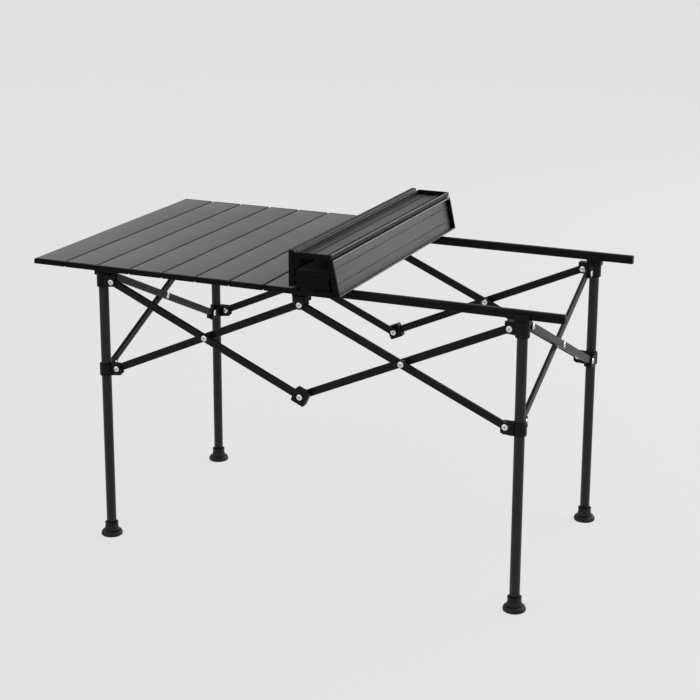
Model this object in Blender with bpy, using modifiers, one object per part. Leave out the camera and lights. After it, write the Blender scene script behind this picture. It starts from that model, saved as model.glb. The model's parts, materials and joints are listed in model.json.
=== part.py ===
# Folding camp table: a slatted roll-up top on a frame of scissor bars between four upright legs.
# Metres, +Z up, +X along the long side, +Y from the front to the back, origin on the floor at the middle.

import math

import bmesh
import bpy
from mathutils import Matrix, Vector

for old in list(bpy.data.objects):
    bpy.data.objects.remove(old, do_unlink=True)

MM = 0.001

# Clearances
SEAT = 0.3 * MM  # between a piece and what it rests on
RUN = 0.35 * MM  # round a rivet's shank and inside a sliding sleeve
PUSH = 0.15 * MM  # round a leg pushed into its hub or foot

# Scissor frame. Every bar has the same span and drop, so all of them turn by the same angle.
SPAN = 355 * MM  # level distance between the two end pivots of a bar, open
DROP = 158 * MM  # height between the upper and the lower row of pivots, open
UPPER_PIVOT_Z = 470 * MM
LONG_REACH = 21 * MM  # leg axis to pivot, along the long side
SHORT_REACH = 27.5 * MM  # leg axis to pivot, along the short side

BAR_WIDTH = 13 * MM
BAR_THICK = 6 * MM
BAR_EDGE = 0.9 * MM

LUG_THICK = 5 * MM
LUG_RADIUS = 7.5 * MM

RIVET_RADIUS = 2.5 * MM
RIVET_HEAD_RADIUS = 4.4 * MM
RIVET_HEAD = 1.6 * MM
RIVET_DOME = 0.8 * MM
SPACER_RADIUS = 5.5 * MM

# Legs and feet
LEG_RADIUS = 8.5 * MM
LEG_WALL = 1.2 * MM
FOOT_RADIUS = 19 * MM
FOOT_EDGE = 2.6 * MM
FOOT_SKIRT_Z = 9 * MM
FOOT_COLLAR_RADIUS = 11.75 * MM
FOOT_COLLAR_Z = 24 * MM
FOOT_FLOOR = 4 * MM
FOOT_ARCH_RADIUS = 12 * MM
FOOT_ARCH = 1 * MM
FOOT_STEPS = 3

# Corner hubs and sliding collars
SLEEVE_RADIUS = 11.5 * MM
SLEEVE_EDGE = 1 * MM
HUB_BELOW = 19 * MM  # sleeve below the upper pivots
HUB_SEAT = 17.7 * MM  # saddle floor above the upper pivots
HUB_ROOF = 5.7 * MM  # saddle floor to the end of the leg's socket
SADDLE_WALL = 2.6 * MM
SADDLE_DEPTH = 9 * MM
SADDLE_BLOCK = 8 * MM  # solid block under the saddle floor
SADDLE_HALF = 12.6 * MM  # half the saddle's length along the rail
SLIDER_HEIGHT = 22 * MM

# Rails
RAIL_HEIGHT = 14.5 * MM
RAIL_DEPTH = 11 * MM
RAIL_WALL = 1.3 * MM
RAIL_CORNER = 2.6 * MM
RAIL_GROOVE = 3 * MM
RAIL_GROOVE_DEPTH = 0.8 * MM
RAIL_OVERHANG = 68 * MM  # past the leg axis
RAIL_CAP = 5 * MM
SPIGOT_LENGTH = 110 * MM

# Middle brackets
BRACKET_HALF = 17 * MM
BRACKET_RADIUS = 8.5 * MM
KNUCKLE_SIZE = 25 * MM
KNUCKLE_WALL = 2.2 * MM

# Slats
SLAT_COUNT = 15
LAST_FLAT = 9  # counted from the left; the ones after it are rolled up
LIFT_SLATS = (8, 9)  # the two that the rest of the top hinges from
SLAT_LENGTH = 534 * MM
SLAT_WIDTH = 59.8 * MM
SLAT_THICK = 9 * MM
SLAT_GAP = 2.4 * MM
SLAT_PLATE = 1.2 * MM
SLAT_FLANGE = 1.2 * MM
SLAT_LIP = 1.6 * MM
SLAT_EDGE = 1.2 * MM  # upper corners
SLAT_LOWER_EDGE = 2.4 * MM
SLAT_OVERHANG = 98 * MM  # left edge of the top, past the left legs' axis
SLAT_RIB = 1.4 * MM
SLAT_RIB_DEPTH = 1.8 * MM
SLAT_RIB_FROM_EDGE = 17 * MM
CAP_LENGTH = 4 * MM
CORD_HOLE_RADIUS = 2 * MM
CORD_FROM_END = 95 * MM

# The roll
ROLL_LEAN = math.radians(12)  # right wall of the roll, from upright
ROLL_HEEL = 3.2 * MM  # how far into slat 10 its hinge lies
ROLL_SHOULDER = 3 * MM  # the same in slat 11
ROLL_SLACK = 2 * MM  # the cords' stretch round the upper left corner
TURN_IN = 5 * MM  # hinge of slat 13, back from the end of slat 12
TURN_DEPTH = 4.6 * MM  # the same, below its top face
LAYER_SHIFT = 0.5 * MM  # last slat over the one under it
LAYER_GAP = 0.4 * MM

FACETS = 16
RIVET_FACETS = 8
HOLE_FACETS = 6
CORD_FACETS = 6
END_STEPS = 5  # round a bar's or a lug's end
WELD = 0.002 * MM
JOIN = 0.2 * MM  # how far solids that are joined reach into each other

# What follows from the sizes
LEG_X = SPAN + LONG_REACH
LEG_Y = SPAN / 2 + SHORT_REACH
LOWER_PIVOT_Z = UPPER_PIVOT_Z - DROP
MIDDLE_Z = (UPPER_PIVOT_Z + LOWER_PIVOT_Z) / 2
BAR_LENGTH = math.hypot(SPAN, DROP)
BAR_TILT = math.atan2(DROP, SPAN)
SADDLE_Z = UPPER_PIVOT_Z + HUB_SEAT
RAIL_Z = SADDLE_Z + SEAT
RAIL_TOP = RAIL_Z + RAIL_HEIGHT
SLAT_TOP = RAIL_TOP + SEAT + SLAT_THICK
PITCH = SLAT_WIDTH + SLAT_GAP
TOP_LENGTH = SLAT_COUNT * SLAT_WIDTH + (SLAT_COUNT - 1) * SLAT_GAP
TOP_LEFT = -LEG_X - SLAT_OVERHANG
MIDDLE_X = (SLAT_OVERHANG - RAIL_OVERHANG) / 2  # the frame's middle from the origin
BAR_NEAR = LUG_THICK / 2 + SEAT  # a bar's near face from its lug's middle plane
BAR_FAR = BAR_NEAR + BAR_THICK
HEAD_SEAT = BAR_FAR + SEAT  # underside of a rivet's head


def collection(name):
    made = bpy.data.collections.new(name)
    bpy.context.scene.collection.children.link(made)
    return made


TABLE = collection("folding_camp_table")
SHAPES = collection("shapes_and_cutters")


def material(name, colour, roughness, metallic=0.0):
    made = bpy.data.materials.new(name)
    made.use_nodes = True
    shader = made.node_tree.nodes["Principled BSDF"]
    shader.inputs["Base Color"].default_value = (*colour, 1)
    shader.inputs["Roughness"].default_value = roughness
    shader.inputs["Metallic"].default_value = metallic
    made.diffuse_color = (*colour, 1)
    return made


SLAT_ALUMINIUM = material("anodised_aluminium_grey", (0.16, 0.168, 0.163), 0.45, 0.6)
FRAME_ALUMINIUM = material("powder_coated_aluminium", (0.012, 0.012, 0.012), 0.42)
PLASTIC = material("black_nylon", (0.008, 0.008, 0.008), 0.5)
RUBBER = material("black_rubber", (0.006, 0.006, 0.006), 0.75)
STEEL = material("steel_rivet", (0.62, 0.62, 0.62), 0.25, 1.0)

# Turns that lay a shape's own Z along an axis
ALONG = {
    "X": Matrix.Rotation(math.pi / 2, 4, "Z") @ Matrix.Rotation(math.pi / 2, 4, "X"),
    "Y": Matrix.Rotation(math.pi / 2, 4, "X"),
    "Z": Matrix(),
}


def add(name, data, look=None):
    if look:
        data.materials.append(look)
    made = bpy.data.objects.new(name, data)
    made.hide_render = True
    made.display_type = "WIRE"
    SHAPES.objects.link(made)
    return made


def freeze(obj, centre=(0, 0, 0), axis="Z"):
    """The shape with its modifiers, as a plain mesh laid along an axis. A curve's caps are welded on."""
    bpy.context.view_layer.update()
    graph = bpy.context.evaluated_depsgraph_get()
    mesh = bpy.data.meshes.new_from_object(obj.evaluated_get(graph))
    bm = bmesh.new()
    bm.from_mesh(mesh)
    if obj.type == "CURVE":
        bmesh.ops.remove_doubles(bm, verts=bm.verts, dist=WELD)
        bmesh.ops.dissolve_limit(bm, angle_limit=math.radians(0.1), verts=bm.verts, edges=bm.edges)
    bmesh.ops.recalc_face_normals(bm, faces=bm.faces)
    bm.transform(Matrix.Translation(centre) @ ALONG[axis])
    bm.to_mesh(mesh)
    bm.free()
    mesh.shade_smooth()
    mesh.set_sharp_from_angle(angle=math.radians(35))
    name = obj.name
    bpy.data.objects.remove(obj, do_unlink=True)
    return add(name, mesh)


def prism(name, outline, low, high, axis, look, chamfer=0.0):
    """An outline pushed along an axis: (y, z) for X, (x, z) for Y and (x, y) for Z."""
    curve = bpy.data.curves.new(name, "CURVE")
    curve.dimensions = "2D"
    curve.fill_mode = "BOTH"
    curve.extrude = (high - low) / 2
    spline = curve.splines.new("POLY")
    spline.points.add(len(outline) - 1)
    spline.use_cyclic_u = True
    for point, (u, v) in zip(spline.points, outline):
        point.co = (u, v, 0, 1)
    centre = {"X": (1, 0, 0), "Y": (0, 1, 0), "Z": (0, 0, 1)}[axis]
    made = freeze(add(name, curve, look), Vector(centre) * (low + high) / 2, axis)
    if chamfer:
        edge = made.modifiers.new("edge", "BEVEL")
        edge.width = chamfer
        edge.segments = 1
        edge.limit_method = "ANGLE"
        edge.angle_limit = math.radians(60)
        made = freeze(made)
    return made


def turned(name, profile, look, centre=(0, 0, 0), axis="Z", facets=FACETS):
    """A profile of (radius, height), from the top down its outer side, turned round an axis."""
    edges = [(i, i + 1) for i in range(len(profile) - 1)]
    if profile[0][0] > 0:
        edges.append((len(profile) - 1, 0))
    mesh = bpy.data.meshes.new(name)
    mesh.from_pydata([(radius, 0, height) for radius, height in profile], edges, [])
    made = add(name, mesh, look)
    screw = made.modifiers.new("turn", "SCREW")
    screw.steps = screw.render_steps = facets
    screw.use_merge_vertices = True
    screw.merge_threshold = WELD
    return freeze(made, centre, axis)


def cylinder(name, radius, low, high, look, centre=(0, 0, 0), axis="Z", facets=FACETS):
    mesh = bpy.data.meshes.new(name)
    bm = bmesh.new()
    middle = Matrix.Translation((0, 0, (low + high) / 2))
    size = dict(segments=facets, radius1=radius, radius2=radius, depth=high - low)
    bmesh.ops.create_cone(bm, cap_ends=True, matrix=middle, **size)
    bm.to_mesh(mesh)
    bm.free()
    return freeze(add(name, mesh, look), centre, axis)


def bore(name, radius, low, high, look, centre=(0, 0, 0), axis="Z", facets=FACETS):
    """A cutter whose flat sides touch the radius from outside, so that a round piece clears them."""
    return cylinder(name, radius / math.cos(math.pi / facets), low, high, look, centre, axis, facets)


def combine(base, adds=(), cuts=()):
    """Joins solids to the base and cuts others from it."""
    for operation, tools in (("UNION", adds), ("DIFFERENCE", cuts)):
        for tool in tools:
            step = base.modifiers.new(operation.lower(), "BOOLEAN")
            step.operation = operation
            step.object = tool
            step.material_mode = "TRANSFER"
    made = freeze(base)
    for tool in (*adds, *cuts):
        bpy.data.objects.remove(tool, do_unlink=True)
    return made


def arc(centre, radius, start, end, steps):
    angles = [math.radians(start + (end - start) * i / steps) for i in range(steps + 1)]
    return [(centre[0] + radius * math.cos(a), centre[1] + radius * math.sin(a)) for a in angles]


def rounded(width, height, corner, steps=3):
    x, y = width / 2 - corner, height / 2 - corner
    quarters = ((x, -y, -90), (x, y, 0), (-x, y, 90), (-x, -y, 180))
    return [p for cx, cy, a in quarters for p in arc((cx, cy), corner, a, a + 90, steps)]


def hull(points):
    points = sorted(set(points))

    def chain(run):
        kept = []
        for p in run:
            while len(kept) > 1 and (kept[-1][0] - kept[-2][0]) * (p[1] - kept[-2][1]) - (
                kept[-1][1] - kept[-2][1]
            ) * (p[0] - kept[-2][0]) <= 1e-12:
                kept.pop()
            kept.append(p)
        return kept[:-1]

    return chain(points) + chain(points[::-1])


def empty(name, at, parent=None):
    made = bpy.data.objects.new(name, None)
    made.empty_display_size = 20 * MM
    TABLE.objects.link(made)
    hang(made, parent, at)
    return made


def hang(obj, parent, at, turn=0.0, axis=1):
    """Places an object at a point of the world, under a parent that isn't turned."""
    base = Vector(parent["at"]) if parent else Vector()
    obj.parent = parent
    obj.location = Vector(at) - base
    obj.rotation_euler[axis] = turn
    obj["at"] = tuple(at)


def rivet_head(seat):
    """A domed head, from its top down to the shank under it."""
    r, top = RIVET_HEAD_RADIUS, seat + RIVET_HEAD
    return [(0, top), (r - 1.5 * RIVET_DOME, top), (r, top - RIVET_DOME), (r, seat), (RIVET_RADIUS, seat)]


def upside_down(profile):
    return [(radius, -height) for radius, height in profile[::-1]]


def rivet(at, axis, side, both=False):
    """A rivet through a lug's middle plane, with the bar on one side (-1 or 1 along the axis)."""
    profile = rivet_head(HEAD_SEAT)
    if both:
        profile += upside_down(profile)
    else:
        shut, r = JOIN - LUG_THICK / 2, RIVET_HEAD_RADIUS - RIVET_DOME
        profile += [(RIVET_RADIUS, shut), (r, shut), (r, shut - JOIN - RIVET_DOME), (0, shut - JOIN - RIVET_DOME)]
    # A shape laid along Y has its own top towards -Y.
    if side == (1 if axis == "Y" else -1):
        profile = upside_down(profile)
    return turned("rivet", profile, STEEL, at, axis, RIVET_FACETS)


def lug(reach, axis, look=PLASTIC):
    """A flat ear that reaches from the sleeve to a pivot, rounded at its end."""
    start = SLEEVE_RADIUS * 0.6
    outline = [(start, -LUG_RADIUS), *arc((reach, 0), LUG_RADIUS, -90, 90, END_STEPS), (start, LUG_RADIUS)]
    return prism("lug", outline, -LUG_THICK / 2, LUG_THICK / 2, axis, look)


def saddle(half_length, low):
    """The open channel that a rail lies in, with a block under it."""
    inner = RAIL_DEPTH / 2 + SEAT
    outer = inner + SADDLE_WALL
    top = HUB_SEAT + SADDLE_DEPTH
    lip = SADDLE_WALL / 3
    right = [(outer, low), (outer, top - lip), (outer - lip, top), (inner, top), (inner, HUB_SEAT)]
    left = [(-y, z) for y, z in right[::-1]]
    return prism("saddle", right + left, -half_length, half_length, "X", PLASTIC)


def corner_rivets(long_side, short_side):
    at_long, at_short = (LONG_REACH, 0, 0), (0, SHORT_REACH, 0)
    return [rivet(at_long, "Y", long_side), rivet(at_short, "X", short_side)]


def hub(name, mirror, long_side, short_side):
    """Corner hub about its leg's axis and the upper pivots' height; +X and +Y face the table's middle."""
    top, r = HUB_SEAT - HUB_ROOF / 2, SLEEVE_RADIUS
    profile = [(0, top), (r, top), (r, SLEEVE_EDGE - HUB_BELOW), (r - SLEEVE_EDGE, -HUB_BELOW), (0, -HUB_BELOW)]
    body = turned(name, profile, PLASTIC)
    adds = [saddle(SADDLE_HALF, HUB_SEAT - SADDLE_BLOCK), lug(LONG_REACH, "Y"), lug(SHORT_REACH, "X")]
    socket = bore("socket", LEG_RADIUS + PUSH, -HUB_BELOW - MM, HUB_SEAT - HUB_ROOF, PLASTIC)
    body = combine(body, adds, [socket])
    body = combine(body, corner_rivets(long_side, short_side))
    return mirrored(body) if mirror else body


def slider(name, mirror, long_side, short_side):
    """Sliding collar about its leg's axis and the lower pivots' height."""
    half, r, e = SLIDER_HEIGHT / 2, SLEEVE_RADIUS, SLEEVE_EDGE
    profile = [(0, half), (r - e, half), (r, half - e), (r, e - half), (r - e, -half), (0, -half)]
    body = turned(name, profile, PLASTIC)
    passage = bore("passage", LEG_RADIUS + RUN, -half - MM, half + MM, PLASTIC)
    body = combine(body, [lug(LONG_REACH, "Y"), lug(SHORT_REACH, "X")], [passage])
    body = combine(body, corner_rivets(long_side, short_side))
    return mirrored(body) if mirror else body


def mirrored(obj):
    obj.data.transform(Matrix.Scale(-1, 4, (1, 0, 0)))
    obj.data.flip_normals()
    return obj


def bar_mesh():
    """One bar along +X from its first pivot, in the plane of X and Z, with three rivet holes."""
    half = BAR_WIDTH / 2
    outline = arc((BAR_LENGTH, 0), half, -90, 90, END_STEPS) + arc((0, 0), half, 90, 270, END_STEPS)
    body = prism("bar", outline, -BAR_THICK / 2, BAR_THICK / 2, "Y", FRAME_ALUMINIUM, BAR_EDGE)
    holes = [
        bore("hole", RIVET_RADIUS + RUN, -BAR_THICK, BAR_THICK, FRAME_ALUMINIUM, (x, 0, 0), "Y", HOLE_FACETS)
        for x in (0, BAR_LENGTH / 2, BAR_LENGTH)
    ]
    return combine(body, cuts=holes)


def leg_solid(name):
    low, high = FOOT_FLOOR + SEAT, SADDLE_Z - HUB_ROOF - SEAT
    r, inner = LEG_RADIUS, LEG_RADIUS - LEG_WALL
    return turned(name, [(inner, high), (r, high), (r, low), (inner, low)], FRAME_ALUMINIUM)


def foot_solid(name):
    """A flared foot with a socket for the leg and a hollow under its sole."""
    inner, collar, r, edge = LEG_RADIUS + PUSH, FOOT_COLLAR_RADIUS, FOOT_RADIUS, FOOT_EDGE
    top, skirt = FOOT_COLLAR_Z, FOOT_SKIRT_Z
    profile = [(0, FOOT_FLOOR), (inner, FOOT_FLOOR), (inner, top), (collar - 0.3 * edge, top), (collar, top - 0.3 * edge)]
    for i in range(FOOT_STEPS + 1):
        turn = math.pi / 2 * i / FOOT_STEPS
        profile.append((r - (r - collar) * math.cos(turn), skirt - (skirt - edge) * math.sin(turn)))
    profile += [(r, 0.5 * edge), (r - 0.4 * edge, 0)]
    profile += [(FOOT_ARCH_RADIUS, 0), (FOOT_ARCH_RADIUS, FOOT_ARCH), (0, FOOT_ARCH)]
    return turned(name, profile, RUBBER)


def rail_outline():
    """Rail section in (y, z) about its middle: rounded, with a groove along each side."""
    y, g = RAIL_DEPTH / 2, RAIL_GROOVE / 2
    right = [(y, -g), (y - RAIL_GROOVE_DEPTH, -g / 2), (y - RAIL_GROOVE_DEPTH, g / 2), (y, g)]
    left = [(-a, -b) for a, b in right]
    ring = rounded(RAIL_DEPTH, RAIL_HEIGHT, RAIL_CORNER)
    return ring[:4] + right + ring[4:12] + left + ring[12:]


def rail_half(name, side):
    """Half a rail, from the middle to its capped end, about the rail's own axis."""
    end = LEG_X + RAIL_OVERHANG
    low, high = sorted((side * SEAT / 2, side * end))
    body = prism(name, rail_outline(), low, high, "X", FRAME_ALUMINIUM)
    hollow = rounded(RAIL_DEPTH - 2 * RAIL_WALL, RAIL_HEIGHT - 2 * RAIL_WALL, RAIL_CORNER - RAIL_WALL, 1)
    low, high = sorted((-side * MM, side * (end - RAIL_CAP)))
    return combine(body, cuts=[prism("hollow", hollow, low, high, "X", FRAME_ALUMINIUM)])


def spigot(name):
    gap = 2 * (RAIL_WALL + SEAT)
    outline = rounded(RAIL_DEPTH - gap, RAIL_HEIGHT - gap, RAIL_CORNER - RAIL_WALL, 1)
    return prism(name, outline, -SPIGOT_LENGTH / 2, SPIGOT_LENGTH / 2, "X", FRAME_ALUMINIUM)


def middle_bracket(name):
    """The bracket under a rail's middle that both upper bar ends turn on, about their pivot."""
    body = saddle(BRACKET_HALF, HUB_SEAT - SADDLE_BLOCK * 0.6)
    body.name = name
    shoulder = HUB_SEAT - SADDLE_BLOCK * 0.4
    corners = [(s * (BRACKET_HALF - MM), shoulder) for s in (-1, 1)]
    outline = hull([(round(x, 7), round(z, 7)) for x, z in corners + arc((0, 0), BRACKET_RADIUS, 180, 360, 10)])
    plate = prism("plate", outline, -LUG_THICK / 2, LUG_THICK / 2, "Y", PLASTIC)
    body = combine(body, [plate])
    return combine(body, [rivet((0, 0, 0), "Y", 1, both=True)])


def knuckle(name):
    """The shoe on the lower end of an outer bar. The inner bar turns on its rivet, behind it."""
    half, wall = KNUCKLE_SIZE / 2, KNUCKLE_WALL
    front = -(BAR_FAR + SEAT + wall)
    outline = rounded(KNUCKLE_SIZE, KNUCKLE_SIZE, 2 * MM, 2)
    body = prism(name, outline, front, LUG_THICK / 2, "Y", PLASTIC, 0.5 * MM)
    side = BAR_WIDTH / 2 + SEAT
    pocket = [(-half - MM, -side), *arc((0, 0), side, -90, 90, 8), (-half - MM, side)]
    body = combine(body, cuts=[prism("pocket", pocket, -BAR_FAR - SEAT, -LUG_THICK / 2, "Y", PLASTIC)])
    # Laid along Y, the rivet's own top is at the front.
    profile = rivet_head(-front - JOIN) + upside_down(rivet_head(HEAD_SEAT))
    return combine(body, [turned("rivet", profile, STEEL, (0, 0, 0), "Y", RIVET_FACETS)])


def crossing_rivet(name, axis):
    """The rivet where two bars cross, with the spacer that keeps their planes apart."""
    spacer = [(RIVET_RADIUS, LUG_THICK / 2), (SPACER_RADIUS, LUG_THICK / 2)]
    half = rivet_head(HEAD_SEAT) + spacer
    return turned(name, half + upside_down(half), STEEL, (0, 0, 0), axis, RIVET_FACETS)


def slat_solid():
    """One slat about its left edge and top face: a channel open below, closed by a moulded cap at each end."""
    w, t, f, e = SLAT_WIDTH, SLAT_THICK, SLAT_FLANGE, SLAT_EDGE
    half = SLAT_LENGTH / 2

    def both_sides(points):
        return points + [(w - x, z) for x, z in points[::-1]]

    lower = arc((SLAT_LOWER_EDGE, SLAT_LOWER_EDGE - t), SLAT_LOWER_EDGE, 180, 270, 2)
    body = prism("slat", both_sides([(e, 0), (0, -e), *lower]), -half, half, "Y", SLAT_ALUMINIUM)
    under, lip, rib = -SLAT_PLATE, SLAT_FLANGE + SLAT_LIP, SLAT_RIB_FROM_EDGE
    rib_end, rib_low = rib + SLAT_RIB, under - SLAT_RIB_DEPTH
    inside = [(lip, -t - MM), (lip, f - t), (f, 1.4 * f - t), (f, under)]
    inside += [(rib, under), (rib, rib_low), (rib_end, rib_low), (rib_end, under)]
    cuts = [prism("channel", both_sides(inside), CAP_LENGTH - half, half - CAP_LENGTH, "Y", SLAT_ALUMINIUM)]
    for y in (CORD_FROM_END - half, half - CORD_FROM_END):
        for low, high in ((-f, 2 * f), (w - 2 * f, w + f)):
            at = (0, y, -t / 2)
            cuts.append(bore("cord_hole", CORD_HOLE_RADIUS, low, high, SLAT_ALUMINIUM, at, "X", CORD_FACETS))
    body = combine(body, cuts=cuts)
    body.data.materials.append(PLASTIC)
    for face in body.data.polygons:
        if abs(face.center.y) > half - CAP_LENGTH - SEAT:
            face.material_index = len(body.data.materials) - 1
    return body


def roll_layout():
    """Every slat's left edge, top face and turn, and every hinge's place, from the flat ones outward."""
    w, t, g = SLAT_WIDTH, SLAT_THICK, SLAT_GAP
    right = math.pi / 2
    bends = [right + ROLL_LEAN, right - ROLL_LEAN, right, right, 2 * right, -2 * right]
    pivots = [
        (g + ROLL_HEEL, -t / 2),
        (g + ROLL_SHOULDER, -t / 2),
        (g + t / 2 + ROLL_SLACK, -t / 2),
        (-TURN_IN, -TURN_DEPTH),
        (0.5 * LAYER_GAP, 0.5 * LAYER_GAP),
        (g / 2 - LAYER_SHIFT, -t - 0.5 * LAYER_GAP),
    ]
    places = {}
    for n in range(1, LAST_FLAT + 1):
        places[n] = (Vector((TOP_LEFT + (n - 1) * PITCH, 0, SLAT_TOP)), 0.0)
    hinges = {n: places[n][0] + Vector((w + g / 2, 0, 0)) for n in range(1, LIFT_SLATS[0])}
    for i, n in enumerate(range(LAST_FLAT + 1, SLAT_COUNT + 1)):
        at, turn = places[n - 1]
        along, up = pivots[min(i, len(pivots) - 1)]
        bend = bends[min(i, len(bends) - 1)]
        hinge = at + Matrix.Rotation(-turn, 3, "Y") @ Vector((w + along, 0, up))
        turn += bend
        places[n] = (hinge - Matrix.Rotation(-turn, 3, "Y") @ Vector((along - g, 0, up)), turn)
        hinges[n] = hinge
    return places, hinges


# The four corners, each with its place and the way its +X and +Y faces the middle.
CORNERS = {
    "front_left": (-1, -1),
    "front_right": (1, -1),
    "back_right": (1, 1),
    "back_left": (-1, 1),
}


def corner_at(corner, z):
    sx, sy = CORNERS[corner]
    return (sx * LEG_X, sy * LEG_Y, z)


def long_pivot(corner, z):
    sx, sy = CORNERS[corner]
    return (sx * SPAN, sy * LEG_Y, z)


def short_pivot(corner, z):
    sx, sy = CORNERS[corner]
    return (sx * LEG_X, sy * SPAN / 2, z)


def build():
    # Meshes that repeat. The back of the frame is the front turned half round.
    hubs = {"front_left": hub("hub_a", False, -1, 1), "front_right": hub("hub_b", True, 1, -1)}
    sliders = {"front_left": slider("slider_a", False, 1, -1), "front_right": slider("slider_b", True, -1, 1)}
    twins = {"back_right": "front_left", "back_left": "front_right"}
    bar = bar_mesh()
    leg, foot, slat = leg_solid("leg"), foot_solid("foot"), slat_solid()
    bracket, shoe = middle_bracket("bracket"), knuckle("shoe")
    crossings = {"Y": crossing_rivet("crossing_y", "Y"), "X": crossing_rivet("crossing_x", "X")}
    halves = {s: rail_half("rail", s) for s in (-1, 1)}
    core = spigot("core")
    patterns = [*hubs.values(), *sliders.values(), bar, leg, foot, slat, bracket, shoe]
    patterns += [*crossings.values(), *halves.values(), core]

    def copy(name, pattern, parent, at, turn=0.0, axis=1):
        made = bpy.data.objects.new(name, pattern.data)
        TABLE.objects.link(made)
        hang(made, parent, at, turn, axis)
        return made

    def add_bar(name, parent, start, end, plane, axis):
        """A bar from one pivot to the other, its middle plane off the lugs' plane."""
        off = plane * (BAR_NEAR + BAR_THICK / 2)
        start, end = Vector(start), Vector(end)
        run = end - start
        if axis == "Y":
            made = copy(name, bar, parent, start + Vector((0, off, 0)), -math.atan2(run.z, run.x), 1)
        else:
            made = copy(name, bar, parent, start + Vector((off, 0, 0)))
            made.rotation_mode = "XYZ"
            made.rotation_euler = (0, 0, 0)
            tilt = Matrix.Rotation(math.atan2(run.z, run.y), 4, "X") @ Matrix.Rotation(math.pi / 2, 4, "Z")
            made.rotation_euler = tilt.to_euler()
        return made

    def rail(prefix, parent, sy):
        at = (0, sy * LEG_Y, RAIL_Z + RAIL_HEIGHT / 2)
        for s, word in ((-1, "left"), (1, "right")):
            copy(f"{prefix}_rail_{word}", halves[s], parent, at)
        copy(f"{prefix}_rail_core", core, parent, at)
        turn = 0 if sy < 0 else math.pi
        copy(f"{prefix}_middle_bracket", bracket, parent, (0, sy * LEG_Y, UPPER_PIVOT_Z), turn, 2)

    def leg_group(corner, parent):
        turn = 0 if CORNERS[corner][1] < 0 else math.pi
        kind = twins.get(corner, corner)
        copy(f"{corner}_leg", leg, parent, corner_at(corner, 0))
        copy(f"{corner}_foot", foot, parent, corner_at(corner, 0))
        copy(f"{corner}_hub", hubs[kind], parent, corner_at(corner, UPPER_PIVOT_Z), turn, 2)

    def slider_group(corner, parent):
        turn = 0 if CORNERS[corner][1] < 0 else math.pi
        copy(f"{corner}_slider", sliders[twins.get(corner, corner)], parent, corner_at(corner, LOWER_PIVOT_Z), turn, 2)

    up, low, mid = UPPER_PIVOT_Z, LOWER_PIVOT_Z, MIDDLE_Z
    front, back = -LEG_Y, LEG_Y

    # Front side: the rail and its bracket hold the frame; bars, legs and sliders hang from them.
    root = empty("front_rail_body", (0, front, RAIL_Z))
    rail("front", root, -1)
    uc = (0, front, up)
    lc = (0, front, low)
    b3 = empty("front_bar_3_pivot", uc, root)
    add_bar("front_bar_3", b3, uc, long_pivot("front_right", low), -1, "Y")
    b2 = empty("front_bar_2_pivot", uc, root)
    add_bar("front_bar_2", b2, long_pivot("front_left", low), uc, 1, "Y")
    b1 = empty("front_bar_1_pivot", (-SPAN / 2, front, mid), b2)
    add_bar("front_bar_1", b1, long_pivot("front_left", up), lc, -1, "Y")
    copy("front_left_crossing", crossings["Y"], b1, (-SPAN / 2, front, mid))
    copy("front_knuckle", shoe, b1, lc, BAR_TILT)
    b4 = empty("front_bar_4_pivot", (SPAN / 2, front, mid), b3)
    add_bar("front_bar_4", b4, lc, long_pivot("front_right", up), 1, "Y")
    copy("front_right_crossing", crossings["Y"], b3, (SPAN / 2, front, mid))
    fl = empty("front_left_leg_pivot", long_pivot("front_left", up), b1)
    fr = empty("front_right_leg_pivot", long_pivot("front_right", up), b4)
    leg_group("front_left", fl)
    leg_group("front_right", fr)
    slider_group("front_left", empty("front_left_slider_pivot", long_pivot("front_left", low), b2))
    slider_group("front_right", empty("front_right_slider_pivot", long_pivot("front_right", low), b3))

    # Short sides: one crossed pair each, between a front and a back leg.
    legs = {}
    for side, parent, front_corner, back_corner in (
        ("left", fl, "front_left", "back_left"),
        ("right", fr, "front_right", "back_right"),
    ):
        x = CORNERS[front_corner][0] * LEG_X
        s1 = empty(f"{side}_bar_1_pivot", short_pivot(front_corner, up), parent)
        add_bar(f"{side}_bar_1", s1, short_pivot(front_corner, up), short_pivot(back_corner, low), 1, "X")
        s2 = empty(f"{side}_bar_2_pivot", (x, 0, mid), s1)
        add_bar(f"{side}_bar_2", s2, short_pivot(front_corner, low), short_pivot(back_corner, up), -1, "X")
        copy(f"{side}_crossing", crossings["X"], s1, (x, 0, mid))
        legs[side] = empty(f"{back_corner}_leg_pivot", short_pivot(back_corner, up), s2)
        leg_group(back_corner, legs[side])
        slider_group(back_corner, empty(f"{back_corner}_slider_pivot", short_pivot(back_corner, low), s1))

    # Back side: the front's bars turned half round.
    uc = (0, back, up)
    lc = (0, back, low)
    r4 = empty("back_bar_4_pivot", long_pivot("back_left", up), legs["left"])
    add_bar("back_bar_4", r4, lc, long_pivot("back_left", up), -1, "Y")
    r3 = empty("back_bar_3_pivot", (-SPAN / 2, back, mid), r4)
    add_bar("back_bar_3", r3, uc, long_pivot("back_left", low), 1, "Y")
    copy("back_left_crossing", crossings["Y"], r3, (-SPAN / 2, back, mid))
    rail("back", empty("back_rail_pivot", uc, r3), 1)
    r1 = empty("back_bar_1_pivot", long_pivot("back_right", up), legs["right"])
    add_bar("back_bar_1", r1, long_pivot("back_right", up), lc, 1, "Y")
    r2 = empty("back_bar_2_pivot", (SPAN / 2, back, mid), r1)
    add_bar("back_bar_2", r2, long_pivot("back_right", low), uc, -1, "Y")
    copy("back_right_crossing", crossings["Y"], r1, (SPAN / 2, back, mid))
    made = copy("back_knuckle", shoe, r1, lc)
    made.rotation_euler = (Matrix.Rotation(math.pi, 4, "Z") @ Matrix.Rotation(BAR_TILT, 4, "Y")).to_euler()

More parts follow.
